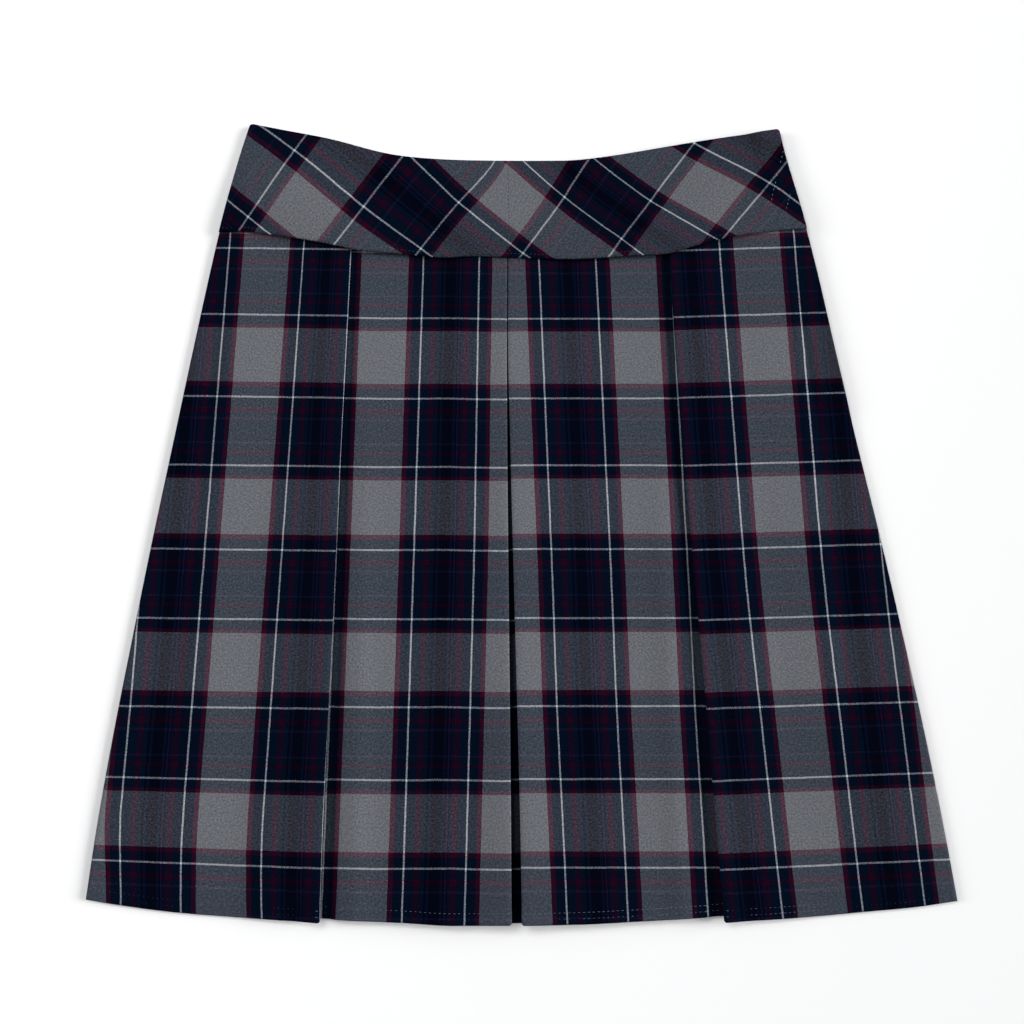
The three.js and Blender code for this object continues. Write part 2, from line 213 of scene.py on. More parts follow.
def twillOf(tree, u, v, pitch):
    # diagonal ribs of a two-up, two-down twill, from -1 to 1
    along = put(tree, "ShaderNodeMath", {0: u, 1: v}, operation="ADD")
    phase = put(tree, "ShaderNodeMath", {0: along.outputs[0], 1: 2 * math.pi / (pitch * mm)},
                operation="MULTIPLY")
    return put(tree, "ShaderNodeMath", {0: phase.outputs[0]}, operation="SINE").outputs[0]


def plaidTwill(name, tone):
    # polyester and viscose suiting twill, yarn-dyed: matt, slightly heathered, faint diagonal ribs
    material, tree = newMaterial(name)
    cloth = put(tree, "ShaderNodeUVMap", uv_map="cloth").outputs[0]
    slow = put(tree, "ShaderNodeTexNoise", {"Vector": cloth, "Scale": 1 / (plaid["wanderLength"] * mm),
                                              "Detail": 1.0})
    drift = put(tree, "ShaderNodeVectorMath", {0: slow.outputs["Color"], 1: (0.5, 0.5, 0.5)},
                operation="SUBTRACT")
    shift = put(tree, "ShaderNodeVectorMath", {0: drift.outputs[0], "Scale": plaid["wander"] * mm * 2},
                operation="SCALE")
    woven = put(tree, "ShaderNodeVectorMath", {0: cloth, 1: shift.outputs[0]}, operation="ADD")
    split = put(tree, "ShaderNodeSeparateXYZ", {0: woven.outputs[0]})
    u, v = split.outputs[0], split.outputs[1]

    warp = stripes(tree, plaid["warp"], u, plaid["warpStart"] * mm)
    weft = stripes(tree, plaid["weft"], plaid["weftStart"] * mm, v)

    twill = twillOf(tree, u, v, plaid["twillPitch"])
    fine = put(tree, "ShaderNodeTexNoise", {"Vector": cloth, "Scale": 1 / (plaid["speck"] * mm),
                                            "Detail": 2.0, "Roughness": 0.6})
    speck = put(tree, "ShaderNodeMath", {0: fine.outputs["Fac"], 1: 0.5}, operation="SUBTRACT")
    ribShare = put(tree, "ShaderNodeMath", {0: twill, 1: plaid["twillDepth"], 2: 1 - plaid["warpShows"]},
                   operation="MULTIPLY_ADD")
    weftShare = put(tree, "ShaderNodeMath", {0: speck.outputs[0], 1: plaid["speckDepth"],
                                             2: ribShare.outputs[0]}, operation="MULTIPLY_ADD")
    mixed = put(tree, "ShaderNodeMix", {0: weftShare.outputs[0], 6: warp, 7: weft}, data_type="RGBA")
    uneven = put(tree, "ShaderNodeTexNoise", {"Vector": woven.outputs[0], "Scale": 1 / (plaid["slub"] * mm),
                                              "Detail": 1.0})
    slub = put(tree, "ShaderNodeMath", {0: uneven.outputs["Fac"], 1: plaid["slubDepth"],
                                        2: tone - plaid["slubDepth"] / 2}, operation="MULTIPLY_ADD")
    shaded = toned(tree, mixed.outputs[2], slub.outputs[0])
    colour = put(tree, "ShaderNodeGamma", {"Color": shaded, "Gamma": plaid["coding"]})

    rib = put(tree, "ShaderNodeMath", {0: twill, 1: 0.5, 2: speck.outputs[0]}, operation="MULTIPLY_ADD")
    relief = put(tree, "ShaderNodeBump", {"Height": rib.outputs[0], "Strength": plaid["relief"],
                                          "Distance": plaid["reliefDepth"] * mm})
    surface(tree, {
        "Base Color": colour.outputs[0], "Normal": relief.outputs[0], "Roughness": plaid["roughness"],
        "Specular IOR Level": plaid["gloss"],
    })
    return material


def plainTwill(name, colour, pitch):
    # a solid-dyed twill or a woven tape: matt, with ribs seen only close up
    material, tree = newMaterial(name)
    place = put(tree, "ShaderNodeTexCoord").outputs["Object"]
    split = put(tree, "ShaderNodeSeparateXYZ", {0: place})
    twill = twillOf(tree, split.outputs[0], split.outputs[1], pitch)
    noise = put(tree, "ShaderNodeTexNoise", {"Vector": place, "Scale": 1 / (1.2 * mm), "Detail": 2.0})
    tone = put(tree, "ShaderNodeMath", {0: noise.outputs["Fac"], 1: 0.5, 2: 0.75}, operation="MULTIPLY_ADD")
    dyed = toned(tree, linear(colour), tone.outputs[0])
    relief = put(tree, "ShaderNodeBump", {"Height": twill, "Strength": 0.35, "Distance": 0.1 * mm})
    surface(tree, {
        "Base Color": dyed, "Normal": relief.outputs[0], "Roughness": 0.9,
        "Specular IOR Level": 0.1,
    })
    return material


def spunThread(name, colour, roughness):
    # spun polyester: a dull twisted strand with a little shine on its crowns
    material, tree = newMaterial(name)
    place = put(tree, "ShaderNodeTexCoord").outputs["Object"]
    twist = put(tree, "ShaderNodeTexNoise", {"Vector": place, "Scale": 1 / (0.4 * mm)})
    tone = put(tree, "ShaderNodeMath", {0: twist.outputs["Fac"], 1: 0.6, 2: 0.7}, operation="MULTIPLY_ADD")
    dyed = toned(tree, linear(colour), tone.outputs[0])
    surface(tree, {
        "Base Color": dyed, "Roughness": roughness, "Specular IOR Level": 0.3,
    })
    return material


def castZinc():
    # plated zinc die casting: grey, satin, with fine tumbling marks
    material, tree = newMaterial("plated zinc")
    place = put(tree, "ShaderNodeTexCoord").outputs["Object"]
    marks = put(tree, "ShaderNodeTexNoise", {"Vector": place, "Scale": 1 / (0.6 * mm), "Detail": 3.0})
    gloss = put(tree, "ShaderNodeMath", {0: marks.outputs["Fac"], 1: 0.25, 2: 0.25}, operation="MULTIPLY_ADD")
    surface(tree, {
        "Base Color": linear("#9a9ca1"), "Metallic": 1.0, "Roughness": gloss.outputs[0],
    })
    return material


plaidCloth = plaidTwill("plaid suiting twill", 1.0)
# the yoke's cloth: the same plaid, toned darker as painted shade
shadedBiasCloth = plaidTwill("plaid suiting twill on the bias, painted shade", plaid["biasShadeTone"])
shortsCloth = plainTwill("navy shorts twill", "#141b29", 1.6)
tapeCloth = plainTwill("woven zip tape", "#0d1422", 0.9)
paleThread = spunThread("pale sewing thread", "#6f7680", 0.8)
greyThread = spunThread("grey sewing thread", "#3c4048", 0.6)
darkThread = spunThread("navy sewing thread", "#10131c", 0.6)
coilNylon = spunThread("nylon zip coil", "#121927", 0.35)
zinc = castZinc()
print("materials ready")


def smoothStep(low, high, value):
    share = np.clip((value - low) / (high - low), 0, 1)
    return share * share * (3 - 2 * share)


def mix(start, end, share):
    return start + (end - start) * share


def readTable(table, placeColumn, valueColumn, place):
    # a smooth curve through a table's rows, straight on beyond its ends
    places = np.array(table[placeColumn], float)
    values = np.array(table[valueColumn], float)
    low = np.maximum(np.arange(len(places)) - 1, 0)
    high = np.minimum(np.arange(len(places)) + 1, len(places) - 1)
    slopes = (values[high] - values[low]) / (places[high] - places[low])
    row = np.clip(np.searchsorted(places, place) - 1, 0, len(places) - 2)
    step = places[row + 1] - places[row]
    along = (place - places[row]) / step
    t = np.clip(along, 0, 1)
    curve = (
        values[row] * (2 * t ** 3 - 3 * t ** 2 + 1) + values[row + 1] * (3 * t ** 2 - 2 * t ** 3)
        + slopes[row] * step * (t ** 3 - 2 * t ** 2 + t) + slopes[row + 1] * step * (t ** 3 - t ** 2)
    )
    return curve + np.where(along < 0, slopes[row], slopes[row + 1]) * (along - t) * step


# outlines, from the hem up or from left to right
sideSeams = {
    "y": [-250, -200, -140, -80, -20, 40, 100, 160, 200, 240, 264],
    "left": [-273.2, -267.6, -259.1, -249.5, -239.6, -229.1, -218.6, -207.8, -199.9, -190.6, -183.9],
    "right": [273.3, 266.1, 256.2, 245.2, 233.7, 221.3, 209.3, 197.8, 189.1, 179.2, 174.4],
}
folds = {
    "y": [-262, -190, -110, -28, 40, 100, 180],
    "left": [-125.5, -124.3, -121.4, -119.1, -117.3, -115.3, -112.8],
    "centreLeft": [-6.1, -6.6, -7.4, -8.3, -8.9, -9.1, -8.9],
    "centreRight": [0.3, -1.0, -3.1, -5.3, -7.0, -8.5, -8.5],
    "right": [126.2, 121.4, 116.0, 110.3, 105.2, 102.0, 98.3],
}
waist = {
    "x": [-183, -162, -129, -96, -80, -56, -30, 26, 42, 66, 98, 131, 173],
    "y": [264.3, 260.0, 253.4, 244.4, 241.4, 239.2, 238.2, 238.0, 238.9, 242.2, 247.8, 253.4, 259.6],
}
yokeSeam = {
    "x": [-201, -189, -163, -137, -117, -109, -83, -51, -33, 10, 35, 68, 96, 110, 124, 151, 175, 192],
    "y": [187.0, 187.0, 183.3, 178.6, 174.2, 172.2, 170.2, 167.3, 167.9, 166.5, 166.3, 168.4, 169.7,
          173.5, 178.0, 184.2, 187.6, 188.8],
}
hems = {
    "sideLeft": {"x": [-272, -256, -226, -196, -126], "y": [-248.0, -250.6, -254.6, -257.3, -261.6]},
    "centreLeft": {"x": [-155, -98, -68, -46, -5], "y": [-257.9, -260.6, -261.9, -263.0, -262.6]},
    "centreRight": {"x": [0, 22, 51, 81, 111, 155], "y": [-262.7, -262.6, -261.8, -260.4, -258.6, -256.2]},
    "sideRight": {
        "x": [126, 156, 186, 216, 246, 272], "y": [-261.3, -259.8, -257.9, -255.2, -252.5, -248.9],
    },
}

# cloth walls, the gaps between layers and how the layers settle on each other
layers = {
    "skirtWall": 1.0, "backWall": 1.4, "yokeWall": 1.8, "gap": 0.3,
    "lap": 9, "lapFrom": 1, "lapTo": 50, "yokeClearance": 0.2, "humpMargin": 3, "humpFade": 68,
    "cornerRadius": 2.2, "pleatMargin": 1, "pleatRamp": 34, "rampWidth": 35, "liftReach": 0.8,
    "hemTuck": 1.2, "underlayHem": -262.2, "edgeReach": 0.72, "edgeInset": 0.5, "passes": 5,
}
# how many columns and rows of points each piece has
fineness = {
    "plain": 44, "ramp": 16, "top": 12, "arc": 9, "return": 9, "panelRows": 130, "hemRows": 20,
    "underlay": 30, "frontYoke": (210, 44), "backYoke": 24, "back": 120, "shorts": (50, 70), "tape": 60,
    "hemLine": 60, "yokeLine": 300, "shortLine": 30, "coilLine": 40,
    "cornerRows": (0, 0.006, 0.014, 0.025, 0.04), "evenFrom": 0.06, "evenTo": 0.962, "hemFrom": 0.964,
}
pleats = {
    "topY": 180, "hemY": -262, "sideDepth": (14, 26), "centreDepth": (16, 36),
    "sideLift": (0.2, 3.2), "centreLift": (0, 2.6),
    "rise": (1.3, 3.5), "riseFrom": (2, 5), "riseTo": (7, 12),
}
shorts = {
    "middle": -5, "topY": 178, "hemY": -110, "topHalf": 182, "hemHalf": 205, "lap": 7, "crotch": 15,
    "spread": 0.055, "sideFall": 10, "hemFallFrom": 18, "hemFallTo": 84,
}
zipper = {
    "top": 245.5, "bottom": 112, "inset": 1, "coilWidth": 4.5, "width": 11.5, "coil": 1.6,
    "fallFrom": 1, "fallTo": 10, "belowFrom": 32, "belowTo": 62, "tapeLevel": 0.45, "tapeWall": 0.8,
    "tapeShare": 0.66, "sewnEdge": 1.2, "coilLevel": 1.1, "teeth": (1.3, 0.9, 4.1, 0.95),
}
oneLayer = layers["skirtWall"] + layers["gap"]
onBack = layers["backWall"] + layers["gap"]

# soft rolls left by pressing and laying down, dying away at both ends: x and y of one end, x and y of the
# other, half width, height
rolls = [
    (-62, -285, -80, -70, 17, 0.8), (66, -290, 58, -60, 19, 0.7),
    (-212, -270, -196, -40, 18, 0.9), (176, -285, 168, -110, 16, 0.6),
    (232, -270, 210, -30, 14, 0.7), (-38, 165, -62, 40, 15, 0.4),
    (40, 160, 66, 20, 16, 0.45), (-158, 175, -182, 30, 13, 0.4),
    (150, 178, 172, 60, 14, 0.4), (-140, 245, -96, 196, 10, 0.35),
    (30, 236, 70, 188, 12, 0.3), (146, 244, 118, 196, 9, 0.3),
    (-107, -420, -100, 120, 8, 1.5), (106, -420, 86, 120, 8, 1.5),
]
rollEnds = {"rises": 0.35, "falls": 0.55}


def seamAt(side, y):
    return readTable(sideSeams, "y", side, y)


def foldAt(name, y):
    return readTable(folds, "y", name, y)


def waistAt(x):
    return readTable(waist, "x", "y", x)


def yokeSeamAt(x):
    return readTable(yokeSeam, "x", "y", x)


def pleatAt(column, y):
    down = np.clip((pleats["topY"] - y) / (pleats["topY"] - pleats["hemY"]), 0, 1)
    return mix(*pleats[column], down)


def insideFolds(x, y):
    return np.minimum(x - foldAt("left", y), foldAt("right", y) - x)


def riseAt(x, y):
    # between the side pleats the cloth stands off the layers below, and dips beside each fold
    return pleatAt("rise", y) * smoothStep(pleatAt("riseFrom", y), pleatAt("riseTo", y), insideFolds(x, y))


def shortsHalf(y):
    down = (shorts["topY"] - y) / (shorts["topY"] - shorts["hemY"])
    return mix(shorts["topHalf"], shorts["hemHalf"], down)


def rollAt(x, y):
    height = 0.0
    for startX, startY, endX, endY, wide, high in rolls:
        alongX, alongY = endX - startX, endY - startY
        length = math.hypot(alongX, alongY)
        along = ((x - startX) * alongX + (y - startY) * alongY) / length ** 2
        off = ((x - startX) * alongY - (y - startY) * alongX) / length
        ends = smoothStep(0, rollEnds["rises"], along) * (1 - smoothStep(rollEnds["falls"], 1, along))
        height = height + high * ends * np.exp(-(off / wide) ** 2)
    return height


def overZip(x, y):
    beyond = seamAt("right", y) - x - zipper["inset"] - zipper["width"]
    across = 1 - smoothStep(zipper["fallFrom"], zipper["fallTo"], beyond)
    return across * (1 - smoothStep(zipper["belowFrom"], zipper["belowTo"], zipper["bottom"] - y))


def restAt(x, y):
    # what the front's lowest layer lies on: shorts, zip or back
    beyondSide = np.abs(x - shorts["middle"]) - shortsHalf(np.maximum(y, shorts["hemY"]))
    beside = 1 - smoothStep(0, shorts["sideFall"], beyondSide)
    above = 1 - smoothStep(shorts["hemFallFrom"], shorts["hemFallTo"], shorts["hemY"] - y)
    zipRise = zipper["coil"] + layers["gap"]
    layered = np.maximum(2 * oneLayer * beside * above, zipRise * overZip(x, y))
    return onBack + layered + riseAt(x, y) + rollAt(x, y)


def clothMesh(name, middle, wall, cloth, material):
    # a closed wall round a grid of points, with a softly rounded edge and the cloth's own grain as its UV map
    rows, columns = middle.shape[:2]
    ahead = np.diff(middle, axis=1)
    ahead /= np.linalg.norm(ahead, axis=2, keepdims=True)
    across = np.zeros_like(middle)
    across[:, :-1] += ahead
    across[:, 1:] += ahead
    out = np.cross(np.gradient(middle, axis=0), across)
    out /= np.linalg.norm(out, axis=2, keepdims=True)
    half = (np.broadcast_to(wall, middle.shape[:2]) / 2).copy()[..., None]

    inward = np.zeros_like(middle)
    for edge, inner in ((0, 1), (-1, -2)):
        down = middle[inner] - middle[edge]
        inward[edge] += down / np.linalg.norm(down, axis=1, keepdims=True)
        over = middle[:, inner] - middle[:, edge]
        inward[:, edge] += over / np.linalg.norm(over, axis=1, keepdims=True)
    onEdge = np.zeros(middle.shape[:2], bool)
    onEdge[[0, -1]] = True
    onEdge[:, [0, -1]] = True
    reach = np.where(onEdge[..., None], layers["edgeReach"], 1.0)
    drawn = inward * half * layers["edgeInset"]
    front = middle + out * half * reach + drawn
    back = middle - out * half * reach + drawn

    index = np.arange(rows * columns).reshape(rows, columns)
    a, b, c, d = index[:-1, :-1], index[:-1, 1:], index[1:, 1:], index[1:, :-1]
    count = rows * columns
    ring = np.concatenate([index[:-1, 0], index[-1, :-1], index[:0:-1, -1], index[0, :0:-1]])
    rim = 2 * count + np.arange(len(ring))
    nextRing, nextRim = np.roll(ring, -1), np.roll(rim, -1)
    faces = np.concatenate([
        np.stack([a, d, c, b], axis=2).reshape(-1, 4),
        np.stack([a, b, c, d], axis=2).reshape(-1, 4) + count,
        np.stack([nextRing, ring, rim, nextRim], axis=1),
        np.stack([nextRim, rim, ring + count, nextRing + count], axis=1),
    ])
    points = np.concatenate([front.reshape(-1, 3), back.reshape(-1, 3), middle.reshape(-1, 3)[ring]]) * mm
    mesh = bpy.data.meshes.new(name)
    mesh.from_pydata(points.tolist(), [], faces.tolist())
    mesh.materials.append(material)
    flat = cloth.reshape(-1, 2)
    grain = np.concatenate([flat, flat, flat[ring]]) * mm
    mesh.uv_layers.new(name="cloth").data.foreach_set("uv", grain[faces.ravel()].ravel())
    mesh.polygons.foreach_set("use_smooth", [True] * len(faces))
    mesh.update()
    return addObject(name, mesh)


def finish(piece, node):
    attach(piece, "root")
    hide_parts(node)


# where the plaid was measured on the front panels, and over which rows its slope changes
grains = {
    "whiteGap": 38.4, "weftTop": 174.3, "level": 5.0, "hemFrom": 110, "hemTo": 250, "dropFrom": -180,
    "dropTo": 260,
}
# how far the cross lines stand above an even spacing
weftDrift = {
    "y": [-228, -174, -128, -73, -27, 28, 74, 128],
    "sideLeft": [1, -1, -1, 0, -1, -1, -1, -0.5],
    "centreLeft": [0, -0.5, -0.5, 0.5, -0.5, -1, -1, -1.5],
    "centreRight": [1, 0.5, 0.5, 1.5, 0.5, 0.5, -0.5, -1.5],
    "sideRight": [0, -0.5, -1, 0, -0.5, -0.5, -1, -1.5],
}
hemming = {
    "rows": (3.7, 7.4), "deep": 9.5, "easesOver": 1, "thicker": 0.35, "dimple": 0.22, "dimpleWide": 0.8,
    "inset": 2.2, "hidden": 14,
}


def levelled(x, y, z):
    # the grain is measured on one level: this moves a point to that level along the line of sight
    nearer = (camera["z"] - grains["level"]) / (camera["z"] - z)
    return camera["x"] + (x - camera["x"]) * nearer, camera["y"] + (y - camera["y"]) * nearer


def evenWeft(panelName, y):
    drift = readTable(weftDrift, "y", panelName, np.clip(y, weftDrift["y"][0], weftDrift["y"][-1]))
    return y - grains["weftTop"] - drift


def slopedWeft(cut, panelName, out, y):
    # cross lines rise away from the fold, more so at the hem, and the whole set drifts down the panel
    rise = mix(*cut["rise"], smoothStep(grains["hemFrom"], grains["hemTo"], -y))
    drop = mix(*cut["drop"], smoothStep(grains["dropFrom"], grains["dropTo"], -y))
    return evenWeft(panelName, y) - rise * out - drop


# each panel's cut: where a pale warp line lies, how it leans or bows, and how the stripes spread beside it
sideLeftCut = {
    "line": -153.5, "lean": 0.0476, "bend": 3.0, "bendFrom": -190, "bendOver": 60,
    "stripeIn": (1.35, 1.15), "stripeFrom": -100, "stripeTo": 60,
    "eases": (0.00015, 0.0004), "easesFrom": -150, "easesTo": 200,
    "pulls": [{"share": 0.045, "from": 0, "to": 120}, {"share": 0.055, "from": 190, "to": 245}],
    "pulledBeyond": 52, "rise": (0.0125, 0.041), "drop": (1.2, -0.6),
}
centreLeftCut = {
    "line": -68.9, "lean": 0.0225, "spreadRight": (1.0, 0.955), "spreadLeft": (1.02, 1.028),
    "topFrom": -60, "topTo": 180, "wave": 0.7, "waveAt": -52, "waveWide": 25, "waveLevel": 0.3,
    "tilt": 0.017, "tiltFrom": -60,
}
centreRightCut = {
    "line": 18.3, "lean": -0.0385, "bow": 0.7, "bowAt": -130, "bowWide": 60, "spread": 0.972,
    "farSpread": 1.006, "farFrom": 38,
}
sideRightCut = {
    "line": 142.0, "lean": -0.0655, "curve": 4.6e-5, "bow": 1.1, "bowAt": -45, "bowWide": 70,
    "spread": 1.03, "eases": 0.0002, "rise": (0.032, 0.047), "drop": (1.1, -0.5),
}


def bowOf(cut, y):
    return cut["bow"] * np.exp(-((y - cut["bowAt"]) / cut["bowWide"]) ** 2)


def sideLeftGrain(x, y):
    cut = sideLeftCut
    bend = cut["bend"] * (np.maximum(cut["bendFrom"] - y, 0) / cut["bendOver"]) ** 2
    line = cut["line"] + cut["lean"] * y + bend
    stripe = foldAt("left", y) - mix(*cut["stripeIn"], smoothStep(cut["stripeFrom"], cut["stripeTo"], -y))
    near = grains["whiteGap"] * (x - line) / (stripe - line)
    beyond = np.maximum(line - x, 0)
    eases = mix(*cut["eases"], smoothStep(cut["easesFrom"], cut["easesTo"], -y))
    pull = sum(row["share"] * smoothStep(row["from"], row["to"], -y) for row in cut["pulls"])
    far = -beyond / (1 + eases * beyond) - pull * np.maximum(beyond - cut["pulledBeyond"], 0)
    u = np.where(x < line, far, np.where(x > stripe, grains["whiteGap"] + x - stripe, near))
    return u, slopedWeft(cut, "sideLeft", foldAt("left", y) - x, y)


def centreLeftGrain(x, y):
    cut = centreLeftCut
    off = x - (cut["line"] + cut["lean"] * y)
    top = smoothStep(cut["topFrom"], cut["topTo"], y)
    u = off / np.where(off > 0, mix(*cut["spreadRight"], top), mix(*cut["spreadLeft"], top))
    wave = cut["wave"] * np.exp(-((x - cut["waveAt"]) / cut["waveWide"]) ** 2) - cut["waveLevel"]
    return u, evenWeft("centreLeft", y) - cut["tilt"] * np.maximum(cut["tiltFrom"] - x, 0) - wave


def centreRightGrain(x, y):
    cut = centreRightCut
    off = x - (cut["line"] + cut["lean"] * y - bowOf(cut, y))
    far = cut["farFrom"] / cut["spread"] + (off - cut["farFrom"]) / cut["farSpread"]
    return np.where(off < cut["farFrom"], off / cut["spread"], far), evenWeft("centreRight", y)


def sideRightGrain(x, y):
    cut = sideRightCut
    line = cut["line"] + cut["lean"] * y + cut["curve"] * y * y - bowOf(cut, y)
    off = x - line
    u = grains["whiteGap"] + np.where(off > 0, off / (cut["spread"] - cut["eases"] * off), off)
    return u, slopedWeft(cut, "sideRight", x - foldAt("right", y), y)


# front panels: an edge, a pressed fold and a return under it. facing is +1 where the fold points to +X
panels = [
    {"name": "front_side_left", "facing": 1, "fold": "left", "hem": "sideLeft", "pleat": "side",
     "edge": lambda y: seamAt("left", y), "grain": sideLeftGrain},
    {"name": "front_centre_left", "facing": 1, "fold": "centreLeft", "hem": "centreLeft", "pleat": "centre",
     "edge": lambda y: foldAt("left", y) - pleatAt("sideDepth", y), "grain": centreLeftGrain},
    {"name": "front_centre_right", "facing": -1, "fold": "centreRight", "hem": "centreRight",
     "pleat": "centre", "edge": lambda y: foldAt("right", y) + pleatAt("sideDepth", y),
     "grain": centreRightGrain},
    {"name": "front_side_right", "facing": -1, "fold": "right", "hem": "sideRight", "pleat": "side",
     "edge": lambda y: seamAt("right", y), "grain": sideRightGrain},
]


def shares(zone):
    return np.linspace(0, 1, fineness[zone])


panelColumns = (
    [("plain", share) for share in shares("plain")[:-1]] + [("ramp", share) for share in shares("ramp")[:-1]]
    + [("top", share) for share in shares("top")[:-1]] + [("arc", share) for share in shares("arc")]
    + [("return", share) for share in shares("return")[1:]]
)
# rows from the yoke to the hem, closer in the turned hem
panelRows = np.concatenate([
    np.linspace(0, fineness["evenTo"], fineness["panelRows"]),
    np.linspace(fineness["hemFrom"], 1, fineness["hemRows"]),
])


def pleatSizes(panel, y):
    # the fold's place, how far the cloth runs under it, its lift, its radius and where its bend begins
    radius = oneLayer / 2
    bend = radius + layers["skirtWall"] / 2
    depth, lift = pleatAt(panel["pleat"] + "Depth", y), pleatAt(panel["pleat"] + "Lift", y)
    return foldAt(panel["fold"], y), depth, lift, radius, bend


def topHeight(back, depth, lift, bend):
    # how high the upper layer of a pleat stands over its rest, back from the fold
    over = 1 - smoothStep(depth + layers["pleatMargin"], depth + layers["pleatRamp"], back)
    return 2 * oneLayer * over + liftBack(back, depth, lift, bend)


def liftBack(back, depth, lift, bend):
    return lift * (1 - smoothStep(bend, depth * layers["liftReach"], back))


def panelPoint(panel, zone, share, y):
    fold, depth, lift, radius, bend = pleatSizes(panel, y)
    turn = math.pi * share
    if zone == "arc":
        back = bend - radius * math.sin(turn)
        height = oneLayer + lift + radius * (1 + math.cos(turn))
        clothBack = bend - radius * turn
    elif zone == "return":
        back = mix(bend, depth, share)
        height = oneLayer + liftBack(back, depth, lift, bend)
        clothBack = 2 * bend - radius * math.pi - back
    else:
        span = np.abs(fold - panel["edge"](y))
        starts = {"plain": span, "ramp": depth + layers["rampWidth"], "top": depth}
        ends = {"plain": depth + layers["rampWidth"], "ramp": depth, "top": bend}
        back = mix(starts[zone], ends[zone], share)
        height = topHeight(back, depth, lift, bend)
        clothBack = back
    under = {"arc": share, "return": 1}.get(zone, 0)
    x = fold - panel["facing"] * back
    return x, restAt(x, y) + layers["skirtWall"] / 2 + height, under, fold - panel["facing"] * clothBack


def hemAt(panel, x):
    return readTable(hems[panel["hem"]], "x", "y", x)


def hemWall(aboveHem):
    # the turned hem is a little thicker, and each row of stitches draws it in
    beyond = smoothStep(hemming["deep"] - hemming["easesOver"], hemming["deep"], aboveHem)
    wall = layers["skirtWall"] + hemming["thicker"] * (1 - beyond)
    for row in hemming["rows"]:
        wall = wall - hemming["dimple"] * np.exp(-((aboveHem - row) / hemming["dimpleWide"]) ** 2)
    return wall


def makePanel(panel):
    points = []
    grain = []
    walls = []
    for zone, share in panelColumns:
        y = mix(pleats["topY"], pleats["hemY"], panelRows)
        for _ in range(layers["passes"]):
            x, z, under, clothX = panelPoint(panel, zone, share, y)
            hem = hemAt(panel, foldAt(panel["fold"], y) if under > 0 else x) + layers["hemTuck"] * under
            y = mix(yokeSeamAt(x) + layers["lap"], hem, panelRows)
        points.append(np.stack([x, y, z], axis=1))
        grain.append(np.stack(panel["grain"](*levelled(clothX, y, z)), axis=1))
        walls.append(hemWall(y - hem))
    order = slice(None) if panel["facing"] > 0 else slice(None, None, -1)
    middle = np.stack(points[order], axis=1)
    cloth = np.stack(grain[order], axis=1)
    piece = clothMesh(panel["name"] + "_cloth", middle, np.stack(walls[order], axis=1), cloth, plaidCloth)
    finish(piece, panel["name"])


def makeUnderlay():
    along = np.linspace(-1, 1, fineness["underlay"])[None, :]
    share = panelRows[:, None]
    y = mix(pleats["topY"], pleats["hemY"], share) + 0 * along
    for _ in range(layers["passes"]):
        x = (foldAt("centreLeft", y) + foldAt("centreRight", y)) / 2 + along * pleatAt("centreDepth", y)
        y = mix(yokeSeamAt(x) + layers["lap"], layers["underlayHem"], share)
    middle = np.stack([x, y, restAt(x, y) - riseAt(x, y) + layers["skirtWall"] / 2], axis=2)
    cloth = np.stack([x + grains["whiteGap"] / 2, y - grains["weftTop"]], axis=2)
    piece = clothMesh("centre_underlay_cloth", middle, layers["skirtWall"], cloth, plaidCloth)
    finish(piece, "centre_underlay")


def overPleats(x, y):
    def hump(low, high):
        fade, margin = layers["humpFade"], layers["humpMargin"]
        return smoothStep(low - fade, low, x + margin) * (1 - smoothStep(high, high + fade, x - margin))
    side, centre = pleatAt("sideDepth", y), pleatAt("centreDepth", y)
    left = hump(foldAt("left", y) - side, foldAt("left", y))
    middle = hump(foldAt("centreLeft", y) - centre, foldAt("centreRight", y) + centre)
    right = hump(foldAt("right", y), foldAt("right", y) + side)
    return 1 - (1 - left) * (1 - middle) * (1 - right)


def yokeRestAt(x, y):
    roll = rollAt(x, y)
    bridged = pleatAt("rise", y) * smoothStep(-layers["humpFade"], layers["humpMargin"], insideFolds(x, y))
    under = restAt(x, y) - roll - onBack - riseAt(x, y) + bridged
    stack = under + oneLayer + layers["yokeClearance"] + 2 * oneLayer * overPleats(x, y)
    over = 1 - smoothStep(layers["lapFrom"], layers["lapTo"], y - yokeSeamAt(x) - layers["lap"])
    return onBack + mix((zipper["coil"] + layers["gap"]) * overZip(x, y), stack, over) + roll


def yokeGrid(across, share, inset, waistDrop, lowerAt):
    # points between the side seams, rounded where the waist meets them
    y = waistAt(0.0) + 0 * across * share
    radius = layers["cornerRadius"]
    for _ in range(layers["passes"]):
        left = seamAt("left", y) + inset
        right = seamAt("right", y) - inset
        leftOver = np.maximum(radius - share * (waistAt(left) - lowerAt(left)), 0)
        inwards = radius - np.sqrt(radius ** 2 - leftOver ** 2)
        x = mix(left + inwards, right - inwards, across)
        y = mix(waistAt(x) - waistDrop, lowerAt(x), share)
    return x, y


def yokeRows(count):
    # rows from the waist down, closer at the rounded corners
    return np.concatenate([fineness["cornerRows"], np.linspace(fineness["evenFrom"], 1, count)])[:, None]


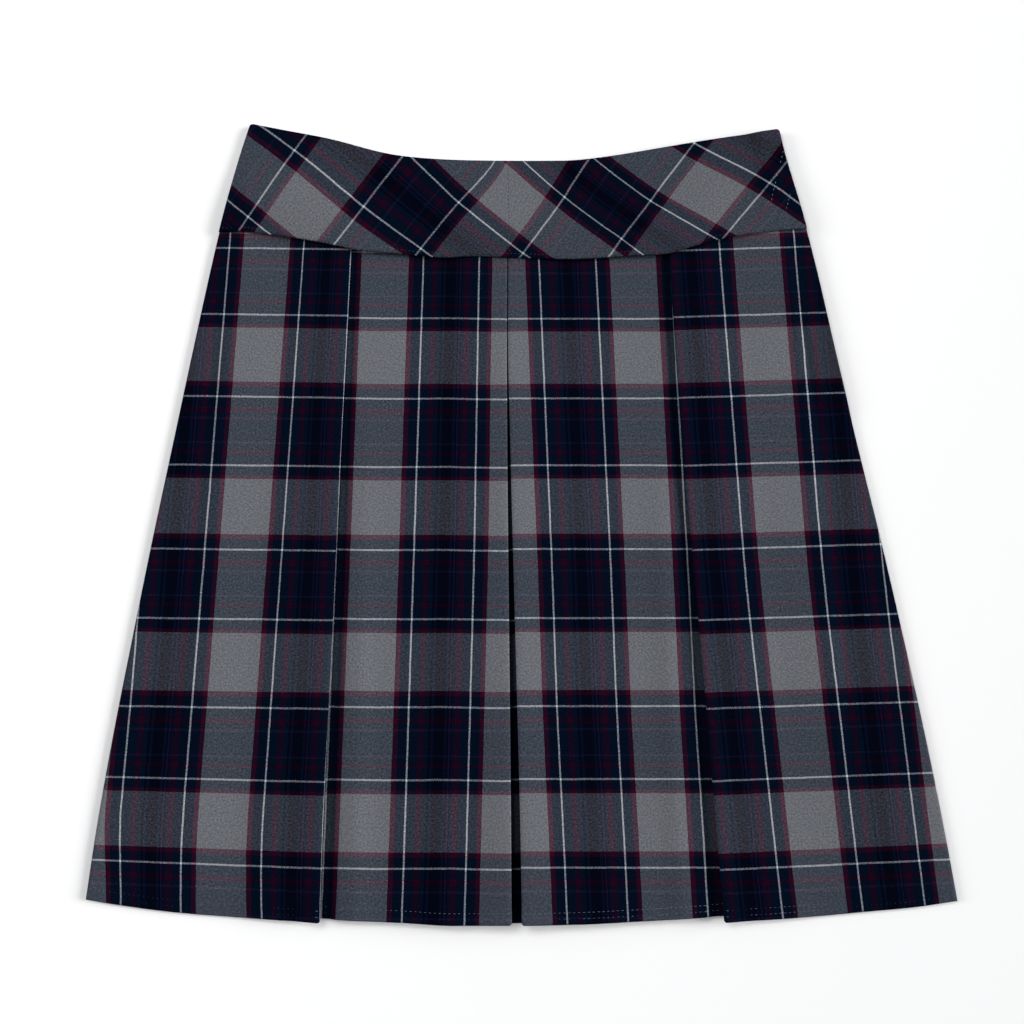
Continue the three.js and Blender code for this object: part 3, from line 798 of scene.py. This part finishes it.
# where the yoke's pale lines cross, to the millimetre, and which they are; a part number lies between two
yokeGrain = {
    "x": [-189, -183, -176, -153, -126, -106, -78, -67, -42, -18, 1, 2, 29, 47, 67, 82, 87, 117, 133,
          167, 178, 187],
    "y": [187, 197, 261, 244, 177, 204, 243, 175, 207, 235, 172, 236, 211, 240, 182, 170, 208, 249, 180,
          221, 235, 206],
    "warpLine": [0.7, 1, 2, 2, 1.4, 2, 3, 2, 3, 3.7, 3, 4, 4, 5, 4, 4, 5, 6, 5, 6, 6.4, 6],
    "weftLine": [5, 5, 5.6, 5, 4, 4, 4, 3, 3, 3, 2, 2.6, 2, 2, 1, 0.7, 1, 1, 0, 0, 0, -0.5],
}
paleLines = {"warpSecond": 39.1, "weftSecond": 54.8}    # from a repeat's first pale line to its second
bending = {"easing": 0.02, "unit": 100, "least": 1e-9}


def lineAt(numbers, repeat, second):
    # two pale lines in each repeat of the plaid
    whole = np.floor(np.array(numbers) / 2)
    part = np.array(numbers) - 2 * whole
    return repeat * whole + np.where(part < 1, second * part, second + (repeat - second) * (part - 1))


yokeGrain["u"] = lineAt(yokeGrain["warpLine"], repeatOf(plaid["warp"]), paleLines["warpSecond"])
yokeGrain["v"] = lineAt(yokeGrain["weftLine"], repeatOf(plaid["weft"]), paleLines["weftSecond"])


def bendThrough(table, column, x, y):
    # a thin sheet bent through the table's points
    places = np.stack([table["x"], table["y"]], axis=1) / bending["unit"]

    def pull(place):
        apart = np.maximum(((place[..., None, :] - places) ** 2).sum(axis=-1), bending["least"])
        flat = np.concatenate([np.ones(place.shape[:-1] + (1,)), place], axis=-1)
        return np.concatenate([apart * np.log(apart), flat], axis=-1)

    count = len(places)
    system = np.zeros((count + 3, count + 3))
    system[:count] = pull(places)
    system[:count, :count] += bending["easing"] * np.eye(count)
    system[count:, :count] = system[:count, count:].T
    weights = np.linalg.solve(system, np.concatenate([table[column], np.zeros(3)]))
    return pull(np.stack([x, y], axis=-1) / bending["unit"]) @ weights


def makeFrontYoke():
    # columns halfway between even ones and ones that crowd to the side seams
    columns, rows = fineness["frontYoke"]
    even = np.linspace(0, 1, columns)[None, :]
    across = mix((1 - np.cos(math.pi * even)) / 2, even, 0.5)
    x, y = yokeGrid(across, yokeRows(rows), 0, 0, yokeSeamAt)
    z = yokeRestAt(x, y) + layers["yokeWall"] / 2
    middle = np.stack([x, y, z], axis=2)
    level = levelled(x, y, z)
    cloth = np.stack([bendThrough(yokeGrain, "u", *level), bendThrough(yokeGrain, "v", *level)], axis=2)
    piece = clothMesh("front_yoke_cloth", middle, layers["yokeWall"], cloth, shadedBiasCloth)
    finish(piece, "front_yoke")


# the back: plain, its plaid centred, its yoke cut on the bias too
backSkirt = {"inset": 0.6, "waistDrop": 1, "seamHalf": 196, "seamSide": 187, "seamMiddle": 168,
             "hemHalf": 272, "hemSide": -244.5, "hemMiddle": -260.7}


def backSeamAt(x):
    return mix(backSkirt["seamMiddle"], backSkirt["seamSide"], (x / backSkirt["seamHalf"]) ** 2)


def backHemAt(x):
    return mix(backSkirt["hemMiddle"], backSkirt["hemSide"], (x / backSkirt["hemHalf"]) ** 2)


def makeBack():
    def lower(x):
        return backSeamAt(x) + layers["gap"] / 2

    across = np.linspace(0, 1, fineness["back"])[None, :]
    rows = yokeRows(fineness["backYoke"])
    x, y = yokeGrid(across, rows, backSkirt["inset"], backSkirt["waistDrop"], lower)
    middle = np.stack([x, y, np.full_like(x, layers["backWall"] / 2)], axis=2)
    lean = math.sqrt(0.5)
    cloth = np.stack([(x + y) * lean, (y - x) * lean], axis=2)
    piece = clothMesh("back_yoke_cloth", middle, layers["backWall"], cloth, plaidCloth)
    finish(piece, "back_yoke")

    share = panelRows[:, None]
    y = mix(backSkirt["seamMiddle"], backSkirt["hemMiddle"], share) + 0 * across
    for _ in range(layers["passes"]):
        left = seamAt("left", y) + backSkirt["inset"]
        right = seamAt("right", y) - backSkirt["inset"]
        x = mix(left, right, across)
        y = mix(backSeamAt(x) - layers["gap"] / 2, backHemAt(x), share)
    middle = np.stack([x, y, np.full_like(x, layers["backWall"] / 2)], axis=2)
    cloth = np.stack([x + grains["whiteGap"] / 2, y - grains["weftTop"]], axis=2)
    piece = clothMesh("back_skirt_cloth", middle, layers["backWall"], cloth, plaidCloth)
    finish(piece, "back_skirt")


def shortsPoint(hand, level, across, share):
    y = mix(shorts["topY"], shorts["hemY"], share) + 0 * across
    for _ in range(layers["passes"]):
        inner = np.maximum(layers["gap"] / 2, (shorts["crotch"] - y) * shorts["spread"])
        x = shorts["middle"] + hand * mix(shortsHalf(y), inner, across)
        y = mix(yokeSeamAt(x) + shorts["lap"], shorts["hemY"], share)
    z = np.full_like(x, onBack + level * oneLayer + layers["skirtWall"] / 2)
    return np.stack([x, y, z], axis=2)


def makeShorts():
    columns, rows = fineness["shorts"]
    for level, layerName in enumerate(("back", "front")):
        for hand, side in ((-1, "left"), (1, "right")):
            across = np.linspace(0, 1, columns)[None, :]
            middle = shortsPoint(hand, level, across, np.linspace(0, 1, rows)[:, None])
            middle = middle if hand < 0 else middle[:, ::-1]
            node = f"shorts_{layerName}_{side}"
            piece = clothMesh(node + "_cloth", middle, layers["skirtWall"], middle[..., :2], shortsCloth)
            finish(piece, node)


makeBack()
makeShorts()
makeUnderlay()
for panel in panels:
    makePanel(panel)
makeFrontYoke()
print("cloth ready")


# what repeats along a line: stitches and the coil of the zip
def beadTree():
    tree = bpy.data.node_groups.new("beads along a line", "GeometryNodeTree")
    tree.interface.new_socket("Geometry", in_out="INPUT", socket_type="NodeSocketGeometry")
    for name in ("Pitch", "Length", "Width", "Height"):
        tree.interface.new_socket(name, in_out="INPUT", socket_type="NodeSocketFloat")
    tree.interface.new_socket("Material", in_out="INPUT", socket_type="NodeSocketMaterial")
    tree.interface.new_socket("Geometry", in_out="OUTPUT", socket_type="NodeSocketGeometry")
    given = put(tree, "NodeGroupInput").outputs
    line = put(tree, "GeometryNodeMeshToCurve", {"Mesh": given["Geometry"]})
    places = put(tree, "GeometryNodeResampleCurve", {"Curve": line.outputs[0], "Length": given["Pitch"]},
                 mode="LENGTH")
    bead = put(tree, "GeometryNodeMeshUVSphere", {"Segments": 6, "Rings": 5, "Radius": 0.5})
    size = put(tree, "ShaderNodeCombineXYZ", {0: given["Length"], 1: given["Width"], 2: given["Height"]})
    way = put(tree, "GeometryNodeInputTangent")
    turn = put(tree, "FunctionNodeAlignRotationToVector", {"Vector": way.outputs[0]}, axis="X")
    placed = put(tree, "GeometryNodeInstanceOnPoints", {
        "Points": places.outputs[0], "Instance": bead.outputs[0], "Rotation": turn.outputs[0],
        "Scale": size.outputs[0],
    })
    real = put(tree, "GeometryNodeRealizeInstances", {"Geometry": placed.outputs[0]})
    dressed = put(tree, "GeometryNodeSetMaterial",
                  {"Geometry": real.outputs[0], "Material": given["Material"]})
    put(tree, "NodeGroupOutput", {"Geometry": dressed.outputs[0]})
    return tree


beads = beadTree()


def makeBeads(name, lines, sizes, material):
    # lines are arrays of points in mm; sizes are pitch, length, width and height in mm
    points = np.concatenate(lines) * mm
    edges = []
    start = 0
    for line in lines:
        edges += [(start + place, start + place + 1) for place in range(len(line) - 1)]
        start += len(line)
    mesh = bpy.data.meshes.new(name + "_line")
    mesh.from_pydata(points.tolist(), edges, [])
    guide = addObject(name + "_line", mesh)
    modifier = guide.modifiers.new("beads", "NODES")
    modifier.node_group = beads
    pitch, length, width, height = (size * mm for size in sizes)
    values = {"Pitch": pitch, "Length": length, "Width": width, "Height": height, "Material": material}
    for socket in beads.interface.items_tree:
        if socket.in_out == "INPUT" and socket.name in values:
            modifier[socket.identifier] = values[socket.name]
    graph = bpy.context.evaluated_depsgraph_get()
    made = bpy.data.meshes.new_from_object(guide.evaluated_get(graph))
    bpy.data.objects.remove(guide)
    made.name = name
    made.polygons.foreach_set("use_smooth", [True] * len(made.polygons))
    piece = addObject(name, made)
    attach(piece, "root")


# each kind's pitch, length, width and height, and where its rows run
stitches = {
    "hem": (3.0, 2.6, 0.32, 0.22), "yoke": (2.6, 1.9, 0.3, 0.24), "centre": (3.0, 2.5, 0.42, 0.34),
    "zip": (3.0, 2.0, 0.38, 0.3), "sink": 0.08, "yokeRow": 2.7, "yokeSide": 187, "yokeEnd": 3,
}
# short rows: x and y of one end, x and y of the other
centreSeam = (-8.6, 234, -7.6, 172)
zipRows = [(177.2, 243.2, 175.2, 236.0), (172.6, 226.4, 171.2, 221.0),
           (169.8, 216.0, 167.4, 205.1), (180.6, 212.0, 178.0, 203.0)]


def panelTop(panel, x, y):
    fold, depth, lift, _, bend = pleatSizes(panel, y)
    height = topHeight(panel["facing"] * (fold - x), depth, lift, bend)
    middle = restAt(x, y) + layers["skirtWall"] / 2 + height
    return middle + hemWall(y - hemAt(panel, x)) / 2


def makeHemStitches():
    lines = []
    for panel in panels:
        fold = foldAt(panel["fold"], pleats["hemY"])
        for row in hemming["rows"]:
            corner = hemAt(panel, panel["edge"](pleats["hemY"])) + row
            hidden = hemming["hidden"] if panel["name"].startswith("front_centre") else 0
            start = panel["edge"](corner) + panel["facing"] * (hemming["inset"] + hidden)
            x = np.linspace(start, fold - panel["facing"] * hemming["inset"], fineness["hemLine"])
            y = hemAt(panel, x) + row
            lines.append(np.stack([x, y, panelTop(panel, x, y) - stitches["sink"]], axis=1))
    makeBeads("hem_stitches", lines, stitches["hem"], paleThread)


def onYoke(x, y):
    return np.stack([x, y, yokeRestAt(x, y) + layers["yokeWall"] - stitches["sink"]], axis=1)


def shortRow(startX, startY, endX, endY):
    along = np.linspace(0, 1, fineness["shortLine"])
    return onYoke(mix(startX, endX, along), mix(startY, endY, along))


def makeYokeStitches():
    left, right = (seamAt(side, stitches["yokeSide"]) for side in ("left", "right"))
    x = np.linspace(left + stitches["yokeEnd"], right - stitches["yokeEnd"], fineness["yokeLine"])
    edge = onYoke(x, yokeSeamAt(x) + stitches["yokeRow"])
    makeBeads("yoke_edge_stitches", [edge], stitches["yoke"], greyThread)
    makeBeads("centre_front_stitches", [shortRow(*centreSeam)], stitches["centre"], darkThread)
    makeBeads("zip_end_stitches", [shortRow(*row) for row in zipRows], stitches["zip"], paleThread)


makeHemStitches()
makeYokeStitches()
print("stitches ready")


def makeZip():
    # woven tape with a row of coil teeth along the seam
    inset = np.array([zipper["width"], zipper["width"] * zipper["tapeShare"], zipper["coilWidth"],
                      zipper["sewnEdge"], 0])[None, :]
    y = np.linspace(zipper["top"], zipper["bottom"], fineness["tape"])[:, None] + 0 * inset
    x = seamAt("right", y) - zipper["inset"] - inset
    middle = np.stack([x, y, np.full_like(x, onBack + zipper["tapeLevel"])], axis=2)
    tape = clothMesh("zip_tape_cloth", middle, zipper["tapeWall"], middle[..., :2], tapeCloth)
    finish(tape, "side_zip")
    y = np.linspace(zipper["top"] - 1, zipper["bottom"] + 1, fineness["coilLine"])
    x = seamAt("right", y) - zipper["inset"] - zipper["coilWidth"] / 2
    line = np.stack([x, y, np.full_like(y, onBack + zipper["coilLevel"])], axis=1)
    makeBeads("zip_coil", [line], zipper["teeth"], coilNylon)


slider = {"width": 5.5, "length": 7, "height": 1.6, "corner": 1.2, "bevel": 0.3, "steps": 6}


def makeSlider():
    # a flat rounded body with soft edges
    wide, long, corner = slider["width"], slider["length"], slider["corner"]
    lean = math.atan2(seamAt("right", zipper["top"]) - seamAt("right", zipper["top"] + long), long)
    startX = seamAt("right", zipper["top"]) - zipper["inset"] - wide
    startY = zipper["top"] + layers["gap"]
    outline = []
    for centreX, centreY, first in ((wide - corner, corner, -90), (wide - corner, long - corner, 0),
                                    (corner, long - corner, 90), (corner, corner, 180)):
        for step in range(slider["steps"] + 1):
            angle = math.radians(first + 90 * step / slider["steps"])
            outline.append((centreX, centreY, math.cos(angle), math.sin(angle)))
    rings = [(0, slider["bevel"]), (slider["bevel"], 0), (slider["height"] - slider["bevel"], 0),
             (slider["height"], slider["bevel"])]
    points = []
    for height, drawn in rings:
        for centreX, centreY, across, along in outline:
            x = centreX + across * (corner - drawn)
            y = centreY + along * (corner - drawn)
            points.append((startX + x * math.cos(lean) - y * math.sin(lean),
                           startY + x * math.sin(lean) + y * math.cos(lean), onBack + height))
    count = len(outline)
    last = len(rings) - 1
    faces = [tuple(reversed(range(count))), tuple(range(last * count, (last + 1) * count))]
    for ring in range(last):
        for place in range(count):
            after = (place + 1) % count
            faces.append((ring * count + place, ring * count + after, (ring + 1) * count + after,
                          (ring + 1) * count + place))
    mesh = bpy.data.meshes.new("zip_slider_metal")
    mesh.from_pydata([tuple(value * mm for value in point) for point in points], [], faces)
    mesh.materials.append(zinc)
    mesh.polygons.foreach_set("use_smooth", [False, False] + [True] * (len(faces) - 2))
    piece = addObject("zip_slider_metal", mesh)
    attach(piece, "root")
    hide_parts("zip_slider")


makeZip()
makeSlider()
print("zip ready")
